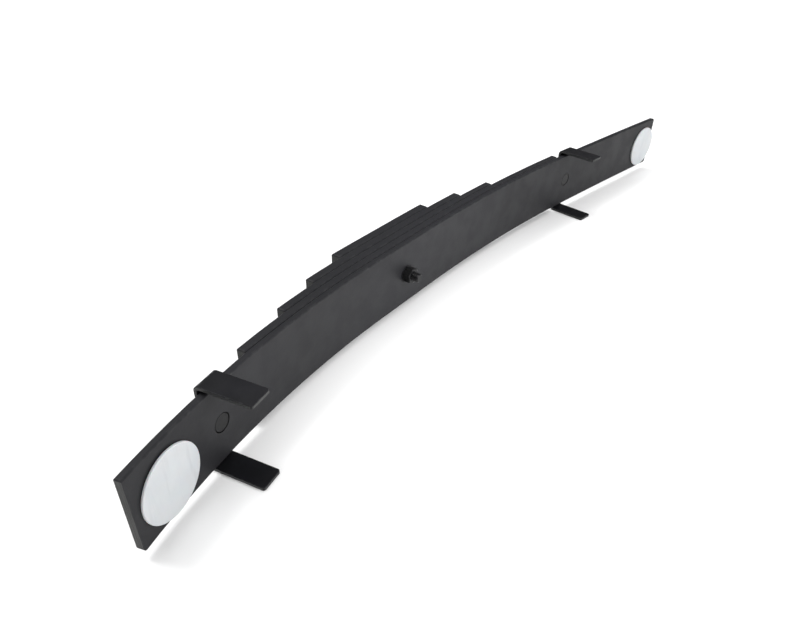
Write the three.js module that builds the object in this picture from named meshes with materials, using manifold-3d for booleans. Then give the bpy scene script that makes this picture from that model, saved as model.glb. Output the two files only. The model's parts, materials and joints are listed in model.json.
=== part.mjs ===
// Leaf spring: five graduated leaves held together by a centre bolt, with two open rebound
// clips riveted to the longest leaf and a slide pad at each of its ends.
//
// Units are millimetres. +X runs along the pack towards its long (rear) end, +Y from the
// longest leaf to the shortest, and +Z across the width of the leaves, so the pack lies on
// its side. The origin is the middle of the end face of the centre bolt's head.

import * as THREE from 'three';
import { mergeVertices } from 'three/addons/utils/BufferGeometryUtils.js';
import Module from 'manifold-3d';

const wasm = await Module();
wasm.setup();

// ---------------------------------------------------------------- driving dimensions

const GAP = 0.3;                  // clearance between pieces that touch
const WIDTH = 70;                 // width of every leaf

// Each leaf's thickness and its reach from the centre bolt, measured along the camber line.
const LEAVES = [
  { name: 'main_leaf', thickness: 6.5, front: 355, rear: 573.5 },
  { name: 'second_leaf', thickness: 8.5, front: 219, rear: 318.5 },
  { name: 'third_leaf', thickness: 8.5, front: 160, rear: 184 },
  { name: 'fourth_leaf', thickness: 9.5, front: 111, rear: 133 },
  { name: 'fifth_leaf', thickness: 10.5, front: 63, rear: 83 },
];
// Radius of the end corners, which are rounded more on the longest leaf.
const LONGEST_LEAF_CORNERS = { front: { upper: 1.5, lower: 4 }, rear: { upper: 4, lower: 5 } };
const SHORTER_LEAF_CORNER = 1.5;
const ROLLED_EDGE = { radius: 1.7, segments: 4 };   // along both sides of every leaf

// The camber line is the inner face of the longest leaf. On each side of the bolt it is a
// flat seat followed by two arcs, and both ends bend towards -Y.
const SEAT_HALF = 42;
const CAMBER = {
  front: [
    { length: SEAT_HALF, radius: Infinity },
    { length: 148, radius: 1200 },
    { length: Infinity, radius: 915 },
  ],
  rear: [
    { length: SEAT_HALF, radius: Infinity },
    { length: 288, radius: 2050 },
    { length: Infinity, radius: 9000 },
  ],
};
const CAMBER_STEP = 18;           // longest facet along a leaf

const BOLT_RADIUS = 4.76;
const BOLT_HEAD = { radius: 8, height: 9.3, chamfer: 0.8 };
const BOLT_STANDS_OUT = 16.5;     // end of the thread beyond the longest leaf
const BOLT_END_CHAMFER = 1.1;
const NUT = { acrossFlats: 15, height: 9, faceInset: 0.2, chamfer: 0.9, turn: 38 };
const SPOT_FACE_RADIUS = 9;       // shallow recess that the bolt's head or the nut bears in

const CLIP = {
  width: 21.3,
  thickness: 3.1,
  sideGap: 4.3,                   // between a leg and the edge of the leaf
  reach: 40.6,                    // of the legs beyond the inner face of the longest leaf
  bendRadius: 2,                  // inside the bends
  cornerRadius: 2.2,
  offCentre: -1,                  // of the strip from its rivet, along the leaf and across it
};
const RIVET = {
  shank: 4,
  head: 7.75,
  headChamfer: 0.3,
  recess: 0.25,
  cone: 3.4,
  coneClearance: 0.1,
  tailBand: 0.4,                  // straight part of the tail, under its dome
  dome: 4.2,
  domeRadius: 7.2,
};
const CLIPS = [
  { side: 'front', at: -261 },
  { side: 'rear', at: 338 },
];

const PAD = { radius: 29, thickness: 2, rim: 0.6, stem: 6, stemChamfer: 0.5, below: 3.5 };
const PADS = [
  { side: 'front', at: -319.6 },
  { side: 'rear', at: 549 },
];

const ROUND_SEGMENTS = 40;
const REACH_THROUGH = 40;         // half length of a cutting tool that goes right through

// ---------------------------------------------------------------- derived positions

const PACK_THICKNESS = LEAVES.reduce((sum, leaf) => sum + leaf.thickness + GAP, -GAP);
const SEAT_Y = -BOLT_HEAD.height;            // back face of the shortest leaf
const FACE_Y = SEAT_Y - PACK_THICKNESS;      // inner face of the longest leaf at the bolt
const MAIN_THICKNESS = LEAVES[0].thickness;

// ---------------------------------------------------------------- materials

const steelPaint = new THREE.MeshStandardMaterial({ color: 0x434349, roughness: 0.5, metalness: 0.25 });
const clipPaint = new THREE.MeshStandardMaterial({ color: 0x22262a, roughness: 0.5, metalness: 0.25 });
const fastener = new THREE.MeshStandardMaterial({ color: 0x2c2c30, roughness: 0.45, metalness: 0.5 });
const nylon = new THREE.MeshStandardMaterial({ color: 0xd8dcdf, roughness: 0.45, metalness: 0 });

// ---------------------------------------------------------------- solids and cuts

function toSolid(geometry) {
  const plain = geometry.index ? geometry.toNonIndexed() : geometry.clone();
  plain.deleteAttribute('normal');
  plain.deleteAttribute('uv');
  const merged = mergeVertices(plain, 1e-4);
  const mesh = new wasm.Mesh({
    numProp: 3,
    vertProperties: new Float32Array(merged.attributes.position.array),
    triVerts: new Uint32Array(merged.index.array),
  });
  return new wasm.Manifold(mesh);
}

function toGeometry(solid) {
  const mesh = solid.getMesh();
  const geometry = new THREE.BufferGeometry();
  geometry.setAttribute('position', new THREE.BufferAttribute(mesh.vertProperties, 3));
  geometry.setIndex(new THREE.BufferAttribute(mesh.triVerts, 1));
  geometry.computeVertexNormals();
  return geometry;
}

function cut(geometry, tools) {
  const solid = tools.reduce((rest, tool) => rest.subtract(toSolid(tool)), toSolid(geometry));
  return toGeometry(solid);
}

function roundTool(radius) {
  return new THREE.CylinderGeometry(radius, radius, 2 * REACH_THROUGH, ROUND_SEGMENTS);
}

// A turned piece about the Y axis. The profile holds [radius, y] pairs from low y to high y.
function turned(profile, segments = ROUND_SEGMENTS) {
  const points = profile.map(([radius, y]) => new THREE.Vector2(radius, y));
  return new THREE.LatheGeometry(points, segments);
}

// A prism along Z that rounds the corner of a plate. The corner is at the origin with the
// plate in the quadrant x < 0, y < 0, turned counter-clockwise by quarter turns.
function cornerTool(radius, quarterTurns) {
  const beyond = 5;
  const shape = new THREE.Shape();
  shape.moveTo(-radius, 0);
  shape.absarc(-radius, -radius, radius, Math.PI / 2, 0, true);
  shape.lineTo(beyond, -radius);
  shape.lineTo(beyond, beyond);
  shape.lineTo(-radius, beyond);
  shape.closePath();
  const depth = 4 * REACH_THROUGH;
  const tool = new THREE.ExtrudeGeometry(shape, { depth, bevelEnabled: false, curveSegments: 6 });
  tool.translate(0, 0, -depth / 2);
  tool.rotateZ(quarterTurns * Math.PI / 2);
  return tool;
}

// ---------------------------------------------------------------- camber line

// The point at distance s along the camber line, and the angle of the line there.
function camberAt(s) {
  const direction = s < 0 ? -1 : 1;
  const stretches = s < 0 ? CAMBER.front : CAMBER.rear;
  let remaining = Math.abs(s);
  let along = 0;
  let drop = 0;
  let angle = 0;
  for (const { length, radius } of stretches) {
    const step = Math.min(remaining, length);
    const turn = step / radius;
    const chord = turn === 0 ? step : 2 * radius * Math.sin(turn / 2);
    along += chord * Math.cos(angle + turn / 2);
    drop += chord * Math.sin(angle + turn / 2);
    angle += turn;
    remaining -= step;
  }
  return { x: direction * along, y: FACE_Y - drop, angle: -direction * angle };
}

// The point on the pack at distance s, a depth behind the camber line.
function packPoint(s, depth) {
  const { x, y, angle } = camberAt(s);
  return new THREE.Vector2(x - depth * Math.sin(angle), y + depth * Math.cos(angle));
}

// The matrix that stands a piece, made about the origin, on the camber line at distance s.
function camberFrame(s, z = 0) {
  const { x, y, angle } = camberAt(s);
  return new THREE.Matrix4().makeRotationZ(angle).setPosition(x, y, z);
}

function stations(from, to) {
  const steps = Math.ceil(Math.abs(to - from) / CAMBER_STEP);
  return Array.from({ length: steps + 1 }, (_, i) => from + (to - from) * i / steps);
}

// ---------------------------------------------------------------- leaves

// The outline of a leaf's cross section as [depth, z] pairs, counter-clockwise seen from +X.
function leafSection(thickness) {
  const { radius, segments } = ROLLED_EDGE;
  const side = WIDTH / 2 - radius;
  const corners = [[thickness - radius, side], [radius, side], [radius, -side], [thickness - radius, -side]];
  return corners.flatMap(([depth, z], quarter) => (
    Array.from({ length: segments + 1 }, (_, i) => {
      const angle = (quarter + i / segments) * Math.PI / 2;
      return [depth + radius * Math.cos(angle), z + radius * Math.sin(angle)];
    })
  ));
}

// A bar of the leaf's section swept along the camber line, a depth behind it.
function leafBlank(leaf, depth) {
  const line = [...stations(-leaf.front, -SEAT_HALF), ...stations(SEAT_HALF, leaf.rear)];
  const section = leafSection(leaf.thickness);
  const around = section.length;
  const positions = line.flatMap((s) => section.flatMap(([inward, z]) => {
    const { x, y } = packPoint(s, depth + inward);
    return [x, y, z];
  }));
  const triangles = [];
  for (let ring = 0; ring < line.length - 1; ring += 1) {
    for (let i = 0; i < around; i += 1) {
      const here = ring * around + i;
      const next = ring * around + (i + 1) % around;
      triangles.push(here, next, here + around, next, next + around, here + around);
    }
  }
  const last = (line.length - 1) * around;
  for (let i = 1; i < around - 1; i += 1) {
    triangles.push(0, i + 1, i, last, last + i, last + i + 1);
  }
  const blank = new THREE.BufferGeometry();
  blank.setAttribute('position', new THREE.Float32BufferAttribute(positions, 3));
  blank.setIndex(triangles);
  return blank;
}

function endCornerTools(leaf, radii) {
  const corners = [
    { s: leaf.rear, side: 1, radius: radii.rear.upper, quarterTurns: 0 },
    { s: -leaf.front, side: 1, radius: radii.front.upper, quarterTurns: 1 },
    { s: -leaf.front, side: -1, radius: radii.front.lower, quarterTurns: 2 },
    { s: leaf.rear, side: -1, radius: radii.rear.lower, quarterTurns: 3 },
  ];
  return corners.map(({ s, side, radius, quarterTurns }) => {
    const tool = cornerTool(radius, quarterTurns);
    tool.rotateX(Math.PI / 2);
    return tool.applyMatrix4(camberFrame(s, side * WIDTH / 2));
  });
}

// The countersunk hole of a clip rivet, with its wide end at the inner face.
function rivetHole(at) {
  const shank = RIVET.shank + GAP;
  const head = RIVET.head + GAP;
  const tool = turned([
    [0, -REACH_THROUGH],
    [head, -REACH_THROUGH],
    [head, RIVET.recess + GAP],
    [shank, RIVET.cone + GAP],
    [shank, REACH_THROUGH],
    [0, REACH_THROUGH],
  ]);
  return tool.applyMatrix4(camberFrame(at));
}

function stemHole(at) {
  return roundTool(PAD.stem + GAP).applyMatrix4(camberFrame(at, -PAD.below));
}

// The outer faces of the pack are spot-faced around the bolt, as deep as the clearance.
function spotFace(faceY) {
  return new THREE.CylinderGeometry(SPOT_FACE_RADIUS, SPOT_FACE_RADIUS, 2 * GAP, ROUND_SEGMENTS)
    .translate(0, faceY, 0);
}

function makeLeaves() {
  const ends = { upper: SHORTER_LEAF_CORNER, lower: SHORTER_LEAF_CORNER };
  const shorterLeafCorners = { front: ends, rear: ends };
  let depth = 0;
  return LEAVES.map((leaf, index) => {
    const radii = index === 0 ? LONGEST_LEAF_CORNERS : shorterLeafCorners;
    const boltHole = roundTool(BOLT_RADIUS + GAP).translate(0, FACE_Y + depth, 0);
    const tools = [boltHole, ...endCornerTools(leaf, radii)];
    if (index === 0) {
      tools.push(spotFace(FACE_Y));
      tools.push(...CLIPS.map(({ at }) => rivetHole(at)));
      tools.push(...PADS.map(({ at }) => stemHole(at)));
    }
    if (index === LEAVES.length - 1) {
      tools.push(spotFace(SEAT_Y));
    }
    const mesh = new THREE.Mesh(cut(leafBlank(leaf, depth), tools), steelPaint);
    mesh.name = leaf.name;
    depth += leaf.thickness + GAP;
    return mesh;
  });
}

// ---------------------------------------------------------------- centre bolt and nut

function makeBolt() {
  const end = FACE_Y - BOLT_STANDS_OUT;
  const { radius, height, chamfer } = BOLT_HEAD;
  const geometry = turned([
    [0, end],
    [BOLT_RADIUS - BOLT_END_CHAMFER, end],
    [BOLT_RADIUS, end + BOLT_END_CHAMFER],
    [BOLT_RADIUS, -height],
    [radius, -height],
    [radius, -chamfer],
    [radius - chamfer, 0],
    [0, 0],
  ]);
  const bolt = new THREE.Mesh(geometry, fastener);
  bolt.name = 'center_bolt';
  return bolt;
}

function makeNut() {
  const corner = NUT.acrossFlats / Math.sqrt(3);
  const hexagon = new THREE.Shape();
  for (let i = 0; i < 6; i += 1) {
    const angle = THREE.MathUtils.degToRad(NUT.turn + 60 * i);
    const place = i === 0 ? 'moveTo' : 'lineTo';
    hexagon[place](corner * Math.cos(angle), corner * Math.sin(angle));
  }
  hexagon.closePath();
  const prism = new THREE.ExtrudeGeometry(hexagon, { depth: NUT.height, bevelEnabled: false });
  prism.rotateX(Math.PI / 2);
  prism.translate(0, NUT.height, 0);
  const small = NUT.acrossFlats / 2 - NUT.faceInset;
  const wide = small + NUT.chamfer / Math.tan(Math.PI / 6);
  const envelope = turned([
    [0, 0],
    [small, 0],
    [wide, NUT.chamfer],
    [wide, NUT.height - NUT.chamfer],
    [small, NUT.height],
    [0, NUT.height],
  ], 48);
  const hole = roundTool(BOLT_RADIUS + GAP);
  const solid = toSolid(prism).intersect(toSolid(envelope)).subtract(toSolid(hole));
  const nut = new THREE.Mesh(toGeometry(solid), fastener);
  nut.name = 'center_bolt_nut';
  nut.position.set(0, FACE_Y - NUT.height, 0);
  return nut;
}

// ---------------------------------------------------------------- rebound clips and rivets

// The open U of a clip, drawn with its legs along -x and its web across them.
function clipOutline() {
  const webInner = MAIN_THICKNESS + GAP;
  const webOuter = webInner + CLIP.thickness;
  const legInner = WIDTH / 2 + CLIP.sideGap;
  const legOuter = legInner + CLIP.thickness;
  const inner = CLIP.bendRadius;
  const outer = CLIP.bendRadius + CLIP.thickness;
  const quarter = Math.PI / 2;
  const shape = new THREE.Shape();
  shape.moveTo(-CLIP.reach, -legOuter);
  shape.lineTo(webOuter - outer, -legOuter);
  shape.absarc(webOuter - outer, -legOuter + outer, outer, -quarter, 0, false);
  shape.absarc(webOuter - outer, legOuter - outer, outer, 0, quarter, false);
  shape.lineTo(-CLIP.reach, legOuter);
  shape.lineTo(-CLIP.reach, legInner);
  shape.absarc(webInner - inner, legInner - inner, inner, quarter, 0, true);
  shape.absarc(webInner - inner, -legInner + inner, inner, 0, -quarter, true);
  shape.lineTo(-CLIP.reach, -legInner);
  shape.closePath();
  return shape;
}

function clipGeometry() {
  const options = { depth: CLIP.width, bevelEnabled: false, curveSegments: 6 };
  const bar = new THREE.ExtrudeGeometry(clipOutline(), options);
  bar.translate(0, 0, -CLIP.width / 2);
  // The outline's x becomes the clip's y, its y becomes z, and the bar's width runs along x.
  const axes = new THREE.Matrix4().makeBasis(
    new THREE.Vector3(0, 1, 0),
    new THREE.Vector3(0, 0, 1),
    new THREE.Vector3(1, 0, 0),
  );
  bar.applyMatrix4(axes);
  bar.translate(CLIP.offCentre, 0, CLIP.offCentre);
  const legEnds = [
    { side: -1, quarterTurns: 2 },
    { side: 1, quarterTurns: 3 },
  ];
  const corners = legEnds.map(({ side, quarterTurns }) => (
    cornerTool(CLIP.cornerRadius, quarterTurns)
      .translate(CLIP.offCentre + side * CLIP.width / 2, -CLIP.reach, 0)
  ));
  return cut(bar, [roundTool(RIVET.shank + GAP), ...corners]);
}

// A rivet with a countersunk head, just below the leaf's inner face, and a domed tail that
// holds the clip's web.
function rivetGeometry() {
  const web = MAIN_THICKNESS + 2 * GAP + CLIP.thickness;
  const domeSteps = 6;
  const dome = Array.from({ length: domeSteps + 1 }, (_, i) => {
    const angle = i / domeSteps * Math.PI / 2;
    return [RIVET.domeRadius * Math.cos(angle), web + RIVET.tailBand + RIVET.dome * Math.sin(angle)];
  });
  dome[domeSteps][0] = 0;
  return turned([
    [0, RIVET.recess],
    [RIVET.head - RIVET.headChamfer, RIVET.recess],
    [RIVET.head, RIVET.recess + RIVET.headChamfer],
    [RIVET.shank, RIVET.cone + RIVET.coneClearance],
    [RIVET.shank, web],
    [RIVET.domeRadius, web],
    ...dome,
  ]);
}

function makeClips() {
  return CLIPS.flatMap(({ side, at }) => {
    const { x, y, angle } = camberAt(at);
    const seat = new THREE.Group();
    seat.position.set(x, y, 0);
    seat.rotation.z = angle;
    const clip = new THREE.Mesh(clipGeometry(), clipPaint);
    clip.name = `${side}_rebound_clip`;
    const rivet = new THREE.Mesh(rivetGeometry(), fastener);
    rivet.name = `${side}_clip_rivet`;
    seat.add(clip, rivet);
    return seat;
  });
}

// ---------------------------------------------------------------- slide pads

// A flat disc that rests on the cambered face at its rim, with a stem through the leaf.
function padGeometry(standOff) {
  const { radius, thickness, rim, stem, stemChamfer } = PAD;
  const stemEnd = MAIN_THICKNESS - GAP;
  return turned([
    [0, -standOff - thickness],
    [radius - rim, -standOff - thickness],
    [radius, -standOff - thickness + rim],
    [radius, -standOff],
    [stem, -standOff],
    [stem, stemEnd - stemChamfer],
    [stem - stemChamfer, stemEnd],
    [0, stemEnd],
  ], 64);
}

function makePads() {
  return PADS.map(({ side, at }) => {
    const { radius } = CAMBER[side][CAMBER[side].length - 1];
    const hollow = PAD.radius ** 2 / (2 * radius);
    const { x, y, angle } = camberAt(at);
    const pad = new THREE.Mesh(padGeometry(GAP + hollow), nylon);
    pad.name = `${side}_slide_pad`;
    pad.position.set(x, y, -PAD.below);
    pad.rotation.z = angle;
    return pad;
  });
}

// ---------------------------------------------------------------- assembly

const leafSpring = new THREE.Group();
leafSpring.add(...makeLeaves(), makeBolt(), makeNut(), ...makeClips(), ...makePads());

export default leafSpring;
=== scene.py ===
"""Leaf spring: finished surfaces, a plain pale floor, soft studio light and the camera."""

import json
import math

import bmesh
import bpy
from mathutils import Matrix, Vector

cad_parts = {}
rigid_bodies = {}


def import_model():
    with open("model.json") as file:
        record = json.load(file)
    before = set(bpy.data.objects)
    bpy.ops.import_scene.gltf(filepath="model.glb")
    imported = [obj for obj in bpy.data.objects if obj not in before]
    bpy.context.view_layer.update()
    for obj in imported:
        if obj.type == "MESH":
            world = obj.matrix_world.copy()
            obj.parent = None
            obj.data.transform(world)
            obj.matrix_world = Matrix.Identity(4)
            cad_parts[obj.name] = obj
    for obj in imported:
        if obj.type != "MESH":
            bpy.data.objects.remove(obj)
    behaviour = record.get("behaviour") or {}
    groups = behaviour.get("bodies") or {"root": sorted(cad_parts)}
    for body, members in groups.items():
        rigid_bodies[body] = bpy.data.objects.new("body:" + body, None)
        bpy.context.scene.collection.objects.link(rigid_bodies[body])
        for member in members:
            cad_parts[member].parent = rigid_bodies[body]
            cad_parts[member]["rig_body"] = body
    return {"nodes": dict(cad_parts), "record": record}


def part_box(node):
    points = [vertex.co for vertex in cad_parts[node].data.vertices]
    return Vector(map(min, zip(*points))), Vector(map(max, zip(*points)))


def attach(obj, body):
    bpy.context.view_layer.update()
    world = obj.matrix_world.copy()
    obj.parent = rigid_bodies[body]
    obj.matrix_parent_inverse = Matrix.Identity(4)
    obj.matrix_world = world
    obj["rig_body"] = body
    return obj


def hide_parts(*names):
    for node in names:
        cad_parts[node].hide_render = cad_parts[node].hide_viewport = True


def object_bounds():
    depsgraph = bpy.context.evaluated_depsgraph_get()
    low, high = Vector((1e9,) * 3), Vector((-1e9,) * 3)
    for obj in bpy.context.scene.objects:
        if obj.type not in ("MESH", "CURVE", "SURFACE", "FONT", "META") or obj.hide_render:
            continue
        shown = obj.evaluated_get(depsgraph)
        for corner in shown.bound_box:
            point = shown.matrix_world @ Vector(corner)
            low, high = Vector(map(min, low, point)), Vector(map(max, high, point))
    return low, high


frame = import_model()
bpy.context.view_layer.update()
CAD_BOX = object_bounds()

MM = 0.001
BODY_OF = {node: obj["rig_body"] for node, obj in frame["nodes"].items()}
SLOT_OF = {row["node"]: row["material_slot"] for row in frame["record"]["subparts"]}


# ---------------------------------------------------------------- camera

CAMERA_PLACE = Vector((-0.4604, -0.3801, 0.3343))
CAMERA_HEADING = math.radians(54.10)     # from +Y towards +X
CAMERA_TILT = math.radians(34.85)        # below the horizon
CAMERA_ROLL = math.radians(-1.335)
CAMERA_LENS = 28.64                      # on a 36 mm sensor


def make_camera():
    heading, tilt = CAMERA_HEADING, CAMERA_TILT
    ahead = Vector((
        math.sin(heading) * math.cos(tilt),
        math.cos(heading) * math.cos(tilt),
        -math.sin(tilt),
    ))
    level_right = Vector((math.cos(heading), -math.sin(heading), 0))
    level_down = ahead.cross(level_right)
    right = level_right * math.cos(CAMERA_ROLL) + level_down * math.sin(CAMERA_ROLL)
    up = right.cross(ahead)
    data = bpy.data.cameras.new("camera")
    data.lens = CAMERA_LENS
    data.sensor_width = 36
    data.clip_start = 0.01
    camera = bpy.data.objects.new("camera", data)
    turn = Matrix((right, up, -ahead)).transposed().to_4x4()
    camera.matrix_world = Matrix.Translation(CAMERA_PLACE) @ turn
    bpy.context.scene.collection.objects.link(camera)
    bpy.context.scene.camera = camera


# ---------------------------------------------------------------- node helpers

class Shader:
    """A material's node tree with short ways to add and join nodes."""

    def __init__(self, name):
        self.material = bpy.data.materials.new(name)
        self.material.use_nodes = True
        self.nodes = self.material.node_tree.nodes
        self.links = self.material.node_tree.links
        self.nodes.clear()
        self.surface = self.nodes.new("ShaderNodeBsdfPrincipled")
        output = self.nodes.new("ShaderNodeOutputMaterial")
        self.links.new(self.surface.outputs["BSDF"], output.inputs["Surface"])
        self.place = self.nodes.new("ShaderNodeTexCoord").outputs["Object"]

    def put(self, socket, value):
        if isinstance(value, bpy.types.NodeSocket):
            self.links.new(value, socket)
        else:
            socket.default_value = value

    def scaled(self, scale):
        mapping = self.nodes.new("ShaderNodeMapping")
        mapping.inputs["Scale"].default_value = scale
        self.links.new(self.place, mapping.inputs["Vector"])
        return mapping.outputs["Vector"]

    def noise(self, scale, detail=4.0, roughness=0.55, stretch=None):
        node = self.nodes.new("ShaderNodeTexNoise")
        node.inputs["Scale"].default_value = scale
        node.inputs["Detail"].default_value = detail
        node.inputs["Roughness"].default_value = roughness
        self.links.new(self.scaled(stretch) if stretch else self.place, node.inputs["Vector"])
        return node.outputs["Fac"]

    def voronoi(self, scale):
        node = self.nodes.new("ShaderNodeTexVoronoi")
        node.inputs["Scale"].default_value = scale
        self.links.new(self.place, node.inputs["Vector"])
        return node.outputs["Distance"]

    def ramp(self, value, low, high, from_low=0.0, from_high=1.0):
        node = self.nodes.new("ShaderNodeMapRange")
        node.interpolation_type = "SMOOTHSTEP"
        self.put(node.inputs["Value"], value)
        node.inputs["From Min"].default_value = from_low
        node.inputs["From Max"].default_value = from_high
        node.inputs["To Min"].default_value = low
        node.inputs["To Max"].default_value = high
        return node.outputs["Result"]

    def math(self, operation, first, second):
        node = self.nodes.new("ShaderNodeMath")
        node.operation = operation
        self.put(node.inputs[0], first)
        self.put(node.inputs[1], second)
        return node.outputs["Value"]

    def mix(self, share, first, second):
        node = self.nodes.new("ShaderNodeMix")
        node.data_type = "RGBA"
        self.put(node.inputs["Factor"], share)
        self.put(node.inputs["A"], first)
        self.put(node.inputs["B"], second)
        return node.outputs["Result"]

    def attribute(self, name):
        node = self.nodes.new("ShaderNodeAttribute")
        node.attribute_name = name
        return node.outputs["Fac"]

    def bump(self, height, depth, under=None):
        node = self.nodes.new("ShaderNodeBump")
        node.inputs["Distance"].default_value = depth
        self.put(node.inputs["Height"], height)
        if under is not None:
            self.links.new(under, node.inputs["Normal"])
        return node.outputs["Normal"]

    def finish(self, **inputs):
        for name, value in inputs.items():
            self.put(self.surface.inputs[name.replace("_", " ")], value)
        return self.material


def grey(level, cool=1.0):
    return (level, level, level * cool, 1.0)


# ---------------------------------------------------------------- materials

def leaf_paint():
    """Satin charcoal paint over hot-rolled spring steel, rubbed a little along its edges, with its
    sheared ends painted lighter as a painted highlight and the joints around the rivet heads
    painted near black as painted shade.
    """
    s = Shader("leaf_paint")
    clouds = s.noise(9.0, detail=5.0)
    streaks = s.noise(60.0, detail=3.0, stretch=(0.12, 1.0, 1.0))
    grain = s.noise(900.0, detail=2.0)
    scale_pits = s.voronoi(260.0)
    tone = s.mix(s.ramp(clouds, 0.0, 1.0, 0.3, 0.7), grey(0.0135, 1.14), grey(0.0165, 1.16))
    tone = s.mix(s.ramp(streaks, 0.0, 0.25, 0.52, 0.72), tone, grey(0.021, 1.08))
    rubbed = s.math("MULTIPLY", s.attribute("edge"), s.ramp(s.noise(150.0), 0.0, 1.0, 0.44, 0.66))
    tone = s.mix(s.math("MULTIPLY", rubbed, 0.25), tone, grey(0.05, 1.02))
    # Painted highlight: the sheared end faces are painted lighter, as if catching the light; the
    # shear marks bumped onto them are real.
    sheared = s.attribute("end_face")
    tone = s.mix(s.math("MULTIPLY", sheared, 0.6), tone, (0.040, 0.041, 0.038, 1))
    # Painted shade: the joint around each rivet head is painted near black, standing in for shade
    # in the recess.
    tone = s.mix(s.attribute("groove"), tone, grey(0.002))
    rough = s.ramp(s.noise(40.0, detail=4.0), 0.51, 0.58, 0.35, 0.65)
    rough = s.math("ADD", rough, s.math("MULTIPLY", rubbed, -0.08))
    shear_marks = s.math("MULTIPLY", s.noise(700.0, stretch=(1.0, 1.0, 0.06)), sheared)
    bump = s.bump(scale_pits, 0.00003)
    bump = s.bump(grain, 0.00004, bump)
    bump = s.bump(clouds, 0.00008, bump)
    bump = s.bump(shear_marks, 0.0004, bump)
    return s.finish(
        Base_Color=tone, Roughness=rough, Normal=bump, IOR=1.5, Specular_IOR_Level=0.25,
    )


def clip_paint():
    """Thinner, blacker paint on bent strip, with fine drawn lines along the strip, and its sheared
    sides and leg ends painted lighter as a painted highlight.
    """
    s = Shader("clip_paint")
    clouds = s.noise(30.0, detail=5.0)
    grain = s.noise(1200.0, detail=2.0)
    drawn = s.noise(900.0, detail=2.0, stretch=(1.0, 0.05, 0.05))
    tone = s.mix(s.ramp(clouds, 0.0, 1.0, 0.3, 0.7), grey(0.0055, 1.2), grey(0.0085, 1.25))
    rubbed = s.math("MULTIPLY", s.attribute("edge"), s.ramp(s.noise(220.0), 0.0, 1.0, 0.45, 0.65))
    # Painted highlight: the sheared sides and leg ends are painted lighter, as if catching the
    # light.
    sheared = s.math("MULTIPLY", s.attribute("end_face"), s.ramp(clouds, 0.5, 1.0, 0.3, 0.7))
    tone = s.mix(sheared, tone, (0.045, 0.046, 0.045, 1))
    tone = s.mix(s.math("MULTIPLY", rubbed, 0.35), tone, grey(0.06, 1.05))
    rough = s.ramp(s.noise(70.0), 0.42, 0.56, 0.35, 0.65)
    bump = s.bump(drawn, 0.00005)
    bump = s.bump(grain, 0.00004, bump)
    return s.finish(
        Base_Color=tone, Roughness=rough, Normal=bump, IOR=1.5, Specular_IOR_Level=0.25,
    )


def fastener_paint():
    """Paint over phosphated steel on the bolt, nut and rivets, with the joint around each rivet
    head painted near black as painted shade.
    """
    s = Shader("fastener")
    spots = s.noise(350.0, detail=4.0)
    grain = s.noise(1600.0, detail=2.0)
    tone = s.mix(s.ramp(spots, 0.0, 1.0, 0.35, 0.7), grey(0.003, 1.2), grey(0.007, 1.15))
    tone = s.mix(s.attribute("end_face"), tone, grey(0.0155, 1.12))
    rubbed = s.math("MULTIPLY", s.attribute("edge"), s.ramp(s.noise(500.0), 0.2, 1.0, 0.4, 0.6))
    tone = s.mix(s.math("MULTIPLY", rubbed, 0.3), tone, grey(0.08, 1.0))
    # Painted shade: the joint around each rivet head is painted near black, standing in for shade
    # in the recess.
    tone = s.mix(s.attribute("groove"), tone, grey(0.002))
    metal = s.ramp(rubbed, 0.05, 0.6)
    rough = s.ramp(spots, 0.36, 0.5, 0.3, 0.7)
    return s.finish(
        Base_Color=tone, Roughness=rough, Metallic=metal, Normal=s.bump(grain, 0.00003),
        Specular_IOR_Level=0.25,
    )


def pad_nylon():
    """Smooth off-white nylon with faint mottling, fine scuffs, a moulded sheen and its rounded rim
    painted lighter as a painted highlight.
    """
    s = Shader("pad_nylon")
    clouds = s.noise(45.0, detail=5.0)
    scuffs = s.noise(160.0, detail=3.0, stretch=(1.0, 1.0, 0.12))
    grain = s.noise(1400.0, detail=2.0)
    mottling = s.ramp(clouds, 0.0, 1.0, 0.3, 0.7)
    tone = s.mix(mottling, (0.585, 0.61, 0.63, 1), (0.625, 0.645, 0.66, 1))
    tone = s.mix(s.ramp(scuffs, 0.0, 0.4, 0.56, 0.74), tone, (0.50, 0.52, 0.54, 1))
    # Painted highlight: the rounded rim is painted lighter, as if catching the light.
    tone = s.mix(s.math("MULTIPLY", s.attribute("edge"), 0.7), tone, (0.66, 0.68, 0.70, 1))
    rough = s.ramp(scuffs, 0.38, 0.52, 0.4, 0.7)
    bump = s.bump(grain, 0.00002)
    bump = s.bump(scuffs, 0.00004, bump)
    return s.finish(
        Base_Color=tone, Roughness=rough, Normal=bump, IOR=1.53,
        Subsurface_Weight=0.12, Subsurface_Scale=0.002,
    )


MATERIALS = {
    "leaf_paint": leaf_paint(),
    "clip_paint": clip_paint(),
    "fastener": fastener_paint(),
    "pad_nylon": pad_nylon(),
}


# ---------------------------------------------------------------- pieces

SHARP_ANGLE = math.radians(25)
WELD_DISTANCE = 0.005 * MM
CAMBERED_FLAT = math.radians(0.03)       # faces that meet at less than this are joined up
STRIP_FLAT = math.radians(1.0)
EDGE_MARK = 1                            # material index that the rounding gives its new faces
FACING = 0.9                             # least part of a normal along the axis it faces
LEG_END_AREA = 80 * MM * MM              # the ends of a clip's legs are smaller
RIVET_HEAD_AREA = 100 * MM * MM          # the flats of the rivets' heads are larger
RIVET_HEAD = 7.4 * MM                    # radius of the flat of a countersunk head
RIVET_RIM = 9.2 * MM
RIM_FACE_AREA = 4 * MM * MM              # the faces around the joint at a rivet are smaller
RIVET_HEADS = [Vector(joint["pos_m"]) for joint in frame["record"]["behaviour"]["joints"]]


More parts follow.
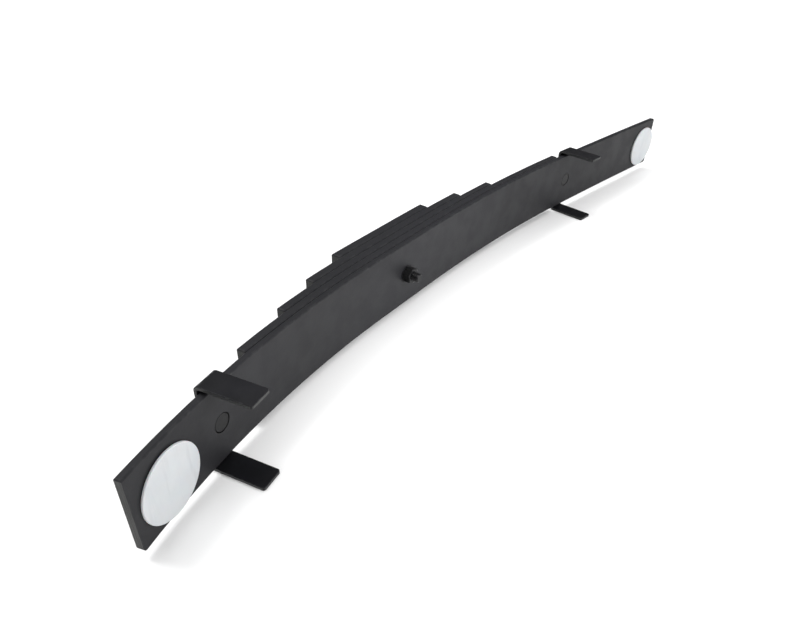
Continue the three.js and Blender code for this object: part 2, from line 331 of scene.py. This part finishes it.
def corner_values(mesh, name, faces):
    """A per-corner attribute that is 1 on the given faces and 0 elsewhere."""
    values = mesh.attributes.new(name, "FLOAT", "CORNER").data
    for face in faces:
        for loop in face.loop_indices:
            values[loop].value = 1.0


def is_rolled_edge(face):
    """The rounded sides of a leaf look neither square to its width nor along it."""
    least, most = 0.1, 0.99
    return least < abs(face.normal.z) < most


def is_end_face(face):
    """The sheared end of a leaf looks nearly along X."""
    across_leaf = 0.05
    return abs(face.normal.x) > FACING and abs(face.normal.z) < across_leaf


def is_strip_edge(face):
    """The sheared sides of a clip's strip, and the small ends of its legs."""
    is_leg_end = abs(face.normal.y) > FACING and face.area < LEG_END_AREA
    return abs(face.normal.x) > FACING or is_leg_end


def is_rivet_head(face):
    """The flat of a rivet's head, which is painted along with the leaf around it."""
    return face.normal.y < -FACING and face.area > RIVET_HEAD_AREA


def on_rivet_rim(face):
    """The joint around a rivet's countersunk head, on the leaf and on the rivet."""
    return any(RIVET_HEAD < (face.center - head).length < RIVET_RIM for head in RIVET_HEADS)


def show_instead(name, node, mesh):
    """Shows a finished mesh in place of a CAD node, with that node's body, slot and finish."""
    mesh.materials.clear()
    mesh.materials.append(MATERIALS[SLOT_OF[node]])
    piece = bpy.data.objects.new(name, mesh)
    bpy.context.scene.collection.objects.link(piece)
    normals = piece.modifiers.new("weighted_normals", "WEIGHTED_NORMAL")
    normals.keep_sharp = True
    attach(piece, BODY_OF[node])
    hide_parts(node)


def smooth_with_creases(mesh):
    bm = bmesh.new()
    bm.from_mesh(mesh)
    for face in bm.faces:
        face.smooth = True
    for edge in bm.edges:
        edge.smooth = len(edge.link_faces) == 2 and edge.calc_face_angle() < SHARP_ANGLE
    bm.to_mesh(mesh)
    bm.free()


def rounded_mesh(node, radius_of, segments, sharp_angle, flat_angle):
    """The node's CAD surface as one skin with each sharp edge rounded to radius_of(edge)."""
    bm = bmesh.new()
    bm.from_mesh(frame["nodes"][node].data)
    bmesh.ops.remove_doubles(bm, verts=bm.verts, dist=WELD_DISTANCE)
    bmesh.ops.dissolve_limit(bm, angle_limit=flat_angle, verts=bm.verts, edges=bm.edges)
    weight = bm.edges.layers.float.new("bevel_weight_edge")
    sharp = [e for e in bm.edges if len(e.link_faces) == 2 and e.calc_face_angle() > sharp_angle]
    widest = max(radius_of(edge) for edge in sharp)
    for edge in sharp:
        edge[weight] = radius_of(edge) / widest
    for face in bm.faces:
        face.material_index = 0
    block = bpy.data.meshes.new(f"{node}_block")
    bm.to_mesh(block)
    bm.free()
    blank = bpy.data.objects.new(f"{node}_blank", block)
    bpy.context.scene.collection.objects.link(blank)
    for _ in range(EDGE_MARK + 1):
        block.materials.append(MATERIALS[SLOT_OF[node]])
    bevel = blank.modifiers.new("rounding", "BEVEL")
    bevel.limit_method = "WEIGHT"
    bevel.width = widest
    bevel.segments = segments
    bevel.material = EDGE_MARK
    bevel.use_clamp_overlap = False
    bevel.loop_slide = False
    made = blank.evaluated_get(bpy.context.evaluated_depsgraph_get())
    mesh = bpy.data.meshes.new_from_object(made)
    mesh.name = f"{node}_skin"
    bpy.data.objects.remove(blank)
    bpy.data.meshes.remove(block)
    return mesh


def rounded_piece(
    node, radius_of, segments=3, sharp_angle=SHARP_ANGLE, flat_angle=CAMBERED_FLAT,
    is_end=is_end_face,
):
    """Shows a CAD node with rounded edges and marks its roundings and ends."""
    mesh = rounded_mesh(node, radius_of, segments, sharp_angle, flat_angle)
    rounded = [f for f in mesh.polygons if f.material_index == EDGE_MARK or is_rolled_edge(f)]
    corner_values(mesh, "edge", rounded)
    plain = [f for f in mesh.polygons if f.material_index != EDGE_MARK]
    corner_values(mesh, "end_face", [f for f in plain if is_end(f)])
    small = [f for f in mesh.polygons if f.area < RIM_FACE_AREA]
    # the joints around the rivet heads, which the materials paint near black as painted shade
    corner_values(mesh, "groove", [f for f in small if on_rivet_rim(f)])
    for face in mesh.polygons:
        face.material_index = 0
    smooth_with_creases(mesh)
    show_instead(f"{node}_finished", node, mesh)


SHEARED_EDGE = 0.45 * MM
HOLE_EDGE = 0.5 * MM
CLIP_EDGE = 0.5 * MM
RIVET_EDGE = 0.3 * MM
PAD_EDGE = 0.25 * MM
NUT_EDGE = 0.2 * MM
NUT_SHARP_ANGLE = math.radians(15)
HOLE_ZONE = 25 * MM                      # holes lie within this distance of mid-width
HOLE_FACET = 3 * MM                      # and their edges are shorter than this


def leaf_edge_radius(edge):
    """The sheared ends are nearly sharp, and the rims of the holes are a little rounder."""
    middle = (edge.verts[0].co + edge.verts[1].co) / 2
    in_hole = abs(middle.z) < HOLE_ZONE and edge.calc_length() < HOLE_FACET
    return HOLE_EDGE if in_hole else SHEARED_EDGE


def same_radius(radius):
    return lambda edge: radius


THREAD_PITCH = 25.4 / 24 * MM
THREAD_DEPTH = 0.55 * MM
THREAD_LENGTH = 16 * MM
SHANK_RADIUS = 4.76 * MM
HEAD_HEIGHT = 9.3 * MM
HEAD_CROWN = 0.8 * MM
HEAD_FILLET = 0.35 * MM
THREAD_CHAMFER = 1.1 * MM
THREAD_ROOT = 0.12                       # share of half a pitch that the root's flat takes
THREAD_FLANK = 0.7                       # and that the sloping flank takes
BOLT_SEGMENTS = 48
ROWS_PER_TURN = 10


def thread_radius(y, turn, start):
    """Radius of a right-hand thread at height y and at a share of a turn."""
    phase = (y / THREAD_PITCH + turn) % 1.0
    rise = 1.0 - abs(2.0 * phase - 1.0)
    crest = min(1.0, max(0.0, (rise - THREAD_ROOT) / THREAD_FLANK))
    radius = SHANK_RADIUS - THREAD_DEPTH * (1.0 - crest)
    return min(radius, SHANK_RADIUS - THREAD_CHAMFER + (y - start))


def threaded_bolt(node):
    """The centre bolt with a helical thread on its free end and a turned head."""
    around = BOLT_SEGMENTS
    low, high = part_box(node)
    head = high.x
    rows = []
    for i in range(int(THREAD_LENGTH / THREAD_PITCH * ROWS_PER_TURN)):
        y = low.y + i * THREAD_PITCH / ROWS_PER_TURN
        rows.append((y, [thread_radius(y, j / around, low.y) for j in range(around)]))
    for radius, y in (
        (SHANK_RADIUS, low.y + THREAD_LENGTH + THREAD_PITCH),
        (SHANK_RADIUS, -HEAD_HEIGHT),
        (head - HEAD_FILLET, -HEAD_HEIGHT),
        (head, -HEAD_HEIGHT + HEAD_FILLET),
        (head, -HEAD_CROWN),
        (head - HEAD_CROWN / 3, -HEAD_CROWN / 3),
        (head - HEAD_CROWN, 0.0),
    ):
        rows.append((y, [radius] * around))
    bm = bmesh.new()
    rings = []
    for y, radii in rows:
        angles = [2 * math.pi * j / around for j in range(around)]
        rings.append([
            bm.verts.new((r * math.cos(a), y, r * math.sin(a))) for r, a in zip(radii, angles)
        ])
    for first, second in zip(rings, rings[1:]):
        for j in range(around):
            k = (j + 1) % around
            bm.faces.new((first[j], first[k], second[k], second[j]))
    bm.faces.new(rings[0])
    bm.faces.new(rings[-1])
    bmesh.ops.recalc_face_normals(bm, faces=bm.faces)
    mesh = bpy.data.meshes.new(f"{node}_skin")
    bm.to_mesh(mesh)
    bm.free()
    smooth_with_creases(mesh)
    corner_values(mesh, "edge", [])
    show_instead(f"{node}_threaded", node, mesh)


make_camera()
for leaf in ("main_leaf", "second_leaf", "third_leaf", "fourth_leaf", "fifth_leaf"):
    rounded_piece(leaf, leaf_edge_radius)
for side in ("front", "rear"):
    rounded_piece(
        f"{side}_rebound_clip", same_radius(CLIP_EDGE), flat_angle=STRIP_FLAT, is_end=is_strip_edge,
    )
    rounded_piece(f"{side}_clip_rivet", same_radius(RIVET_EDGE), segments=2, is_end=is_rivet_head)
    rounded_piece(f"{side}_slide_pad", same_radius(PAD_EDGE))
rounded_piece(
    "center_bolt_nut", same_radius(NUT_EDGE), segments=2, sharp_angle=NUT_SHARP_ANGLE,
)
threaded_bolt("center_bolt")


# ---------------------------------------------------------------- floor, light, world

FLOOR_RADIUS = 12
WORLD_STRENGTH = 0.16


def make_floor():
    """A round sheet of pale paper at the lowest point of the part."""
    low = CAD_BOX[0].z
    bm = bmesh.new()
    bmesh.ops.create_circle(bm, cap_ends=True, radius=FLOOR_RADIUS, segments=96)
    bmesh.ops.translate(bm, verts=bm.verts, vec=(0, 0, low))
    mesh = bpy.data.meshes.new("floor")
    bm.to_mesh(mesh)
    bm.free()
    s = Shader("floor")
    paper = s.finish(Base_Color=grey(0.93), Roughness=0.9, Specular_IOR_Level=0.2)
    mesh.materials.append(paper)
    floor = bpy.data.objects.new("floor", mesh)
    bpy.context.scene.collection.objects.link(floor)


def sun(name, direction, strength, spread):
    """Even light from a direction, given as the vector from the part towards the light."""
    data = bpy.data.lights.new(name, "SUN")
    data.energy = strength
    data.angle = math.radians(spread)
    light = bpy.data.objects.new(name, data)
    light.rotation_euler = Vector(direction).to_track_quat("Z", "Y").to_euler()
    bpy.context.scene.collection.objects.link(light)
    return light


def softbox(name, place, aim, size, power, spread):
    """A rectangular light at a place, aimed at a point, with its spread in degrees."""
    data = bpy.data.lights.new(name, "AREA")
    data.shape = "RECTANGLE"
    data.size, data.size_y = size
    data.energy = power
    data.spread = math.radians(spread)
    light = bpy.data.objects.new(name, data)
    light.location = place
    light.rotation_euler = (Vector(aim) - Vector(place)).to_track_quat("-Z", "Y").to_euler()
    bpy.context.scene.collection.objects.link(light)


def make_world():
    """White where the camera looks past the floor, and a dim even light for everything else."""
    world = bpy.data.worlds.new("studio")
    bpy.context.scene.world = world
    world.use_nodes = True
    nodes, links = world.node_tree.nodes, world.node_tree.links
    light = nodes["Background"]
    light.inputs["Color"].default_value = (1, 1, 1, 1)
    light.inputs["Strength"].default_value = WORLD_STRENGTH
    backdrop = nodes.new("ShaderNodeBackground")
    backdrop.inputs["Color"].default_value = (1, 1, 1, 1)
    path = nodes.new("ShaderNodeLightPath")
    mix = nodes.new("ShaderNodeMixShader")
    links.new(path.outputs["Is Camera Ray"], mix.inputs[0])
    links.new(light.outputs[0], mix.inputs[1])
    links.new(backdrop.outputs[0], mix.inputs[2])
    links.new(mix.outputs[0], nodes["World Output"].inputs["Surface"])


make_floor()
make_world()
sun("back_key", (-0.1, 0.5, 0.86), 1.55, 24)
overhead = sun("overhead", (0.0, 0.0, 1.0), 2.5, 110)
overhead.visible_glossy = False
softbox("front_fill", (0.02, -0.6, 0.32), (-0.04, -0.06, 0.0), (0.35, 0.3), 0.6, 75)
softbox("end_fill", (0.62, -0.42, 0.38), (0.5, -0.06, -0.03), (0.3, 0.3), 0.26, 90)
bpy.context.scene.view_settings.view_transform = "Standard"

bpy.context.view_layer.update()
